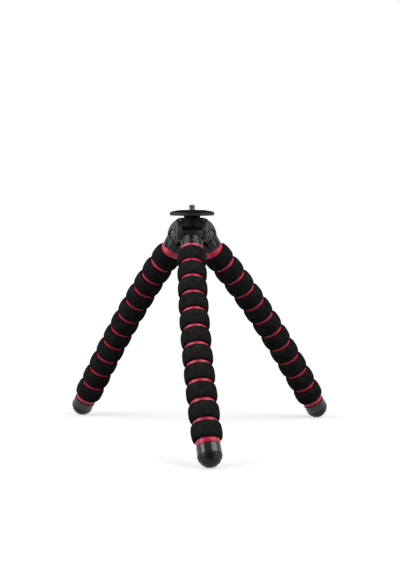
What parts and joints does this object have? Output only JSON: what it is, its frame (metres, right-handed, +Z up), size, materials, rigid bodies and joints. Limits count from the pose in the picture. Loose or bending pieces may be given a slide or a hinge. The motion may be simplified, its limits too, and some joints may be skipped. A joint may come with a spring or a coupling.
{
  "type": "flexible leg tripod",
  "caption": "Small tripod with bendable legs of foam beads on ball links, a forked pivot hub and a lock disc with a camera screw.",
  "frame": {"origin": "camera screw's axis at the top face of the lock disc's pad, where the camera's base rests", "axes": "+Z up along the camera screw, -Y towards the front leg, +X to the right seen from the front"},
  "size_m": [0.2824, 0.2995, 0.2356],
  "materials": {
    "hub_metal": "satin grey coat on a die casting",
    "disc_metal": "dark anodised, knurled rim",
    "knuckle_metal": "polished black coat",
    "steel": "turned",
    "nylon": "natural",
    "pad_rubber": "matte",
    "tip_rubber": "matte, ridged",
    "foam": "closed cell foam, fine pores",
    "link_plastic": "moulded red nylon",
    "foot_plastic": "high gloss black"
  },
  "bodies": {
    "hub": {"hub_body": "hub_metal", "pivot_bolts": "steel", "pivot_nuts": "steel", "pivot_washers": "nylon", "camera_screw": "steel", "screw_washer": "steel", "screw_jam_nut": "steel"},
    "slip_ring": {"slip_ring": "nylon"},
    "lock_disc": {"lock_disc": "disc_metal", "disc_pad": "pad_rubber"},
    "front_knuckle": {"front_knuckle": "knuckle_metal", "front_knuckle_socket": "link_plastic"},
    "front_section_1": {"front_links_1": "link_plastic", "front_foams_1": "foam"},
    "front_section_2": {"front_links_2": "link_plastic", "front_foams_2": "foam"},
    "front_section_3": {"front_links_3": "link_plastic", "front_foams_3": "foam"},
    "front_section_4": {"front_links_4": "link_plastic", "front_foams_4": "foam"},
    "front_section_5": {"front_links_5": "link_plastic", "front_foams_5": "foam"},
    "front_section_6": {"front_links_6": "link_plastic", "front_foams_6": "foam"},
    "front_foot": {"front_foot": "foot_plastic", "front_foot_tip": "tip_rubber"},
    "left_knuckle": {"left_knuckle": "knuckle_metal", "left_knuckle_socket": "link_plastic"},
    "left_section_1": {"left_links_1": "link_plastic", "left_foams_1": "foam"},
    "left_section_2": {"left_links_2": "link_plastic", "left_foams_2": "foam"},
    "left_section_3": {"left_links_3": "link_plastic", "left_foams_3": "foam"},
    "left_section_4": {"left_links_4": "link_plastic", "left_foams_4": "foam"},
    "left_section_5": {"left_links_5": "link_plastic", "left_foams_5": "foam"},
    "left_section_6": {"left_links_6": "link_plastic", "left_foams_6": "foam"},
    "left_foot": {"left_foot": "foot_plastic", "left_foot_tip": "tip_rubber"},
    "right_knuckle": {"right_knuckle": "knuckle_metal", "right_knuckle_socket": "link_plastic"},
    "right_section_1": {"right_links_1": "link_plastic", "right_foams_1": "foam"},
    "right_section_2": {"right_links_2": "link_plastic", "right_foams_2": "foam"},
    "right_section_3": {"right_links_3": "link_plastic", "right_foams_3": "foam"},
    "right_section_4": {"right_links_4": "link_plastic", "right_foams_4": "foam"},
    "right_section_5": {"right_links_5": "link_plastic", "right_foams_5": "foam"},
    "right_section_6": {"right_links_6": "link_plastic", "right_foams_6": "foam"},
    "right_foot": {"right_foot": "foot_plastic", "right_foot_tip": "tip_rubber"}
  },
  "joints": [
    {"name": "disc_lift", "type": "slide", "parent": "hub", "child": "slip_ring", "axis": [0, 0, 1], "range_m": [-0.00127, 0.00254]},
    {"name": "disc_turn", "type": "hinge", "parent": "slip_ring", "child": "lock_disc", "pos_m": [0, 0, 0], "axis": [0, 0, 1], "range_deg": [-360, 720]},
    {"name": "front_pivot", "type": "hinge", "parent": "hub", "child": "front_knuckle", "pos_m": [0, -0.0134, -0.0243], "axis": [-1, 0, 0], "range_deg": [-30.8, 51.2]},
    {"name": "front_curl_1", "type": "hinge", "parent": "front_knuckle", "child": "front_section_1", "pos_m": [0, -0.02574, -0.04129], "axis": [1, 0.0087, 0], "range_deg": [-7, 22]},
    {"name": "front_sway_2", "type": "hinge", "parent": "front_section_1", "child": "front_section_2", "pos_m": [0.00059, -0.05289, -0.06928], "axis": [0.0431, -0.7426, 0.6684], "range_deg": [-11, 11]},
    {"name": "front_curl_3", "type": "hinge", "parent": "front_section_2", "child": "front_section_3", "pos_m": [0.00235, -0.07855, -0.09859], "axis": [0.995, 0.1, 0], "range_deg": [-11, 11]},
    {"name": "front_sway_4", "type": "hinge", "parent": "front_section_3", "child": "front_section_4", "pos_m": [0.00504, -0.10279, -0.12902], "axis": [0.1133, -0.7901, 0.6024], "range_deg": [-11, 11]},
    {"name": "front_curl_5", "type": "hinge", "parent": "front_section_4", "child": "front_section_5", "pos_m": [0.00858, -0.12575, -0.16035], "axis": [0.983, 0.1836, 0], "range_deg": [-11, 11]},
    {"name": "front_sway_6", "type": "hinge", "parent": "front_section_5", "child": "front_section_6", "pos_m": [0.0129, -0.14764, -0.19233], "axis": [0.1861, -0.806, 0.5618], "range_deg": [-11, 11]},
    {"name": "front_curl_7", "type": "hinge", "parent": "front_section_6", "child": "front_foot", "pos_m": [0.01537, -0.15831, -0.20846], "axis": [0.9744, 0.225, 0], "range_deg": [-11, 11]},
    {"name": "left_pivot", "type": "hinge", "parent": "hub", "child": "left_knuckle", "pos_m": [-0.0116, 0.0067, -0.0243], "axis": [0.5, 0.866, 0], "range_deg": [-27, 55]},
    {"name": "left_curl_1", "type": "hinge", "parent": "left_knuckle", "child": "left_section_1", "pos_m": [-0.0213, 0.0123, -0.04207], "axis": [-0.6368, -0.771, 0], "range_deg": [-3, 26]},
    {"name": "left_sway_2", "type": "hinge", "parent": "left_section_1", "child": "left_section_2", "pos_m": [-0.04151, 0.03061, -0.06991], "axis": [-0.5104, 0.536, 0.6725], "range_deg": [-11, 11]},
    {"name": "left_curl_3", "type": "hinge", "parent": "left_section_2", "child": "left_section_3", "pos_m": [-0.05942, 0.04929, -0.09908], "axis": [-0.7145, -0.6997, 0], "range_deg": [-11, 11]},
    {"name": "left_sway_4", "type": "hinge", "parent": "left_section_3", "child": "left_section_4", "pos_m": [-0.07667, 0.06678, -0.12937], "axis": [-0.564, 0.5601, 0.6068], "range_deg": [-11, 11]},
    {"name": "left_curl_5", "type": "hinge", "parent": "left_section_4", "child": "left_section_5", "pos_m": [-0.09333, 0.08322, -0.16057], "axis": [-0.6947, -0.7193, 0], "range_deg": [-11, 11]},
    {"name": "left_sway_6", "type": "hinge", "parent": "left_section_5", "child": "left_section_6", "pos_m": [-0.10956, 0.09878, -0.19243], "axis": [-0.6008, 0.5642, 0.5664], "range_deg": [-11, 11]},
    {"name": "left_curl_7", "type": "hinge", "parent": "left_section_6", "child": "left_foot", "pos_m": [-0.11761, 0.10634, -0.2085], "axis": [-0.6845, -0.729, 0], "range_deg": [-11, 11]},
    {"name": "right_pivot", "type": "hinge", "parent": "hub", "child": "right_knuckle", "pos_m": [0.0116, 0.0067, -0.0243], "axis": [0.5, -0.866, 0], "range_deg": [-27, 55]},
    {"name": "right_curl_1", "type": "hinge", "parent": "right_knuckle", "child": "right_section_1", "pos_m": [0.0213, 0.0123, -0.04207], "axis": [-0.5544, 0.8323, 0], "range_deg": [-3, 26]},
    {"name": "right_sway_2", "type": "hinge", "parent": "right_section_1", "child": "right_section_2", "pos_m": [0.04374, 0.02784, -0.06991], "axis": [0.5959, 0.439, 0.6725], "range_deg": [-11, 11]},
    {"name": "right_curl_3", "type": "hinge", "parent": "right_section_2", "child": "right_section_3", "pos_m": [0.0646, 0.04317, -0.09908], "axis": [-0.59, 0.8074, 0], "range_deg": [-11, 11]},
    {"name": "right_sway_4", "type": "hinge", "parent": "right_section_3", "child": "right_section_4", "pos_m": [0.08444, 0.05764, -0.12937], "axis": [0.6435, 0.4665, 0.6068], "range_deg": [-11, 11]},
    {"name": "right_curl_5", "type": "hinge", "parent": "right_section_4", "child": "right_section_5", "pos_m": [0.1034, 0.07136, -0.16057], "axis": [-0.5838, 0.8119, 0], "range_deg": [-11, 11]},
    {"name": "right_sway_6", "type": "hinge", "parent": "right_section_5", "child": "right_section_6", "pos_m": [0.12167, 0.08447, -0.19243], "axis": [0.6709, 0.4786, 0.5664], "range_deg": [-11, 11]},
    {"name": "right_curl_7", "type": "hinge", "parent": "right_section_6", "child": "right_foot", "pos_m": [0.13066, 0.09089, -0.2085], "axis": [-0.5807, 0.8141, 0], "range_deg": [-11, 11]}
  ],
  "couplings": [
    {"joint": "disc_turn", "follows": "disc_lift", "rad_per_m": 4947.4}
  ]
}
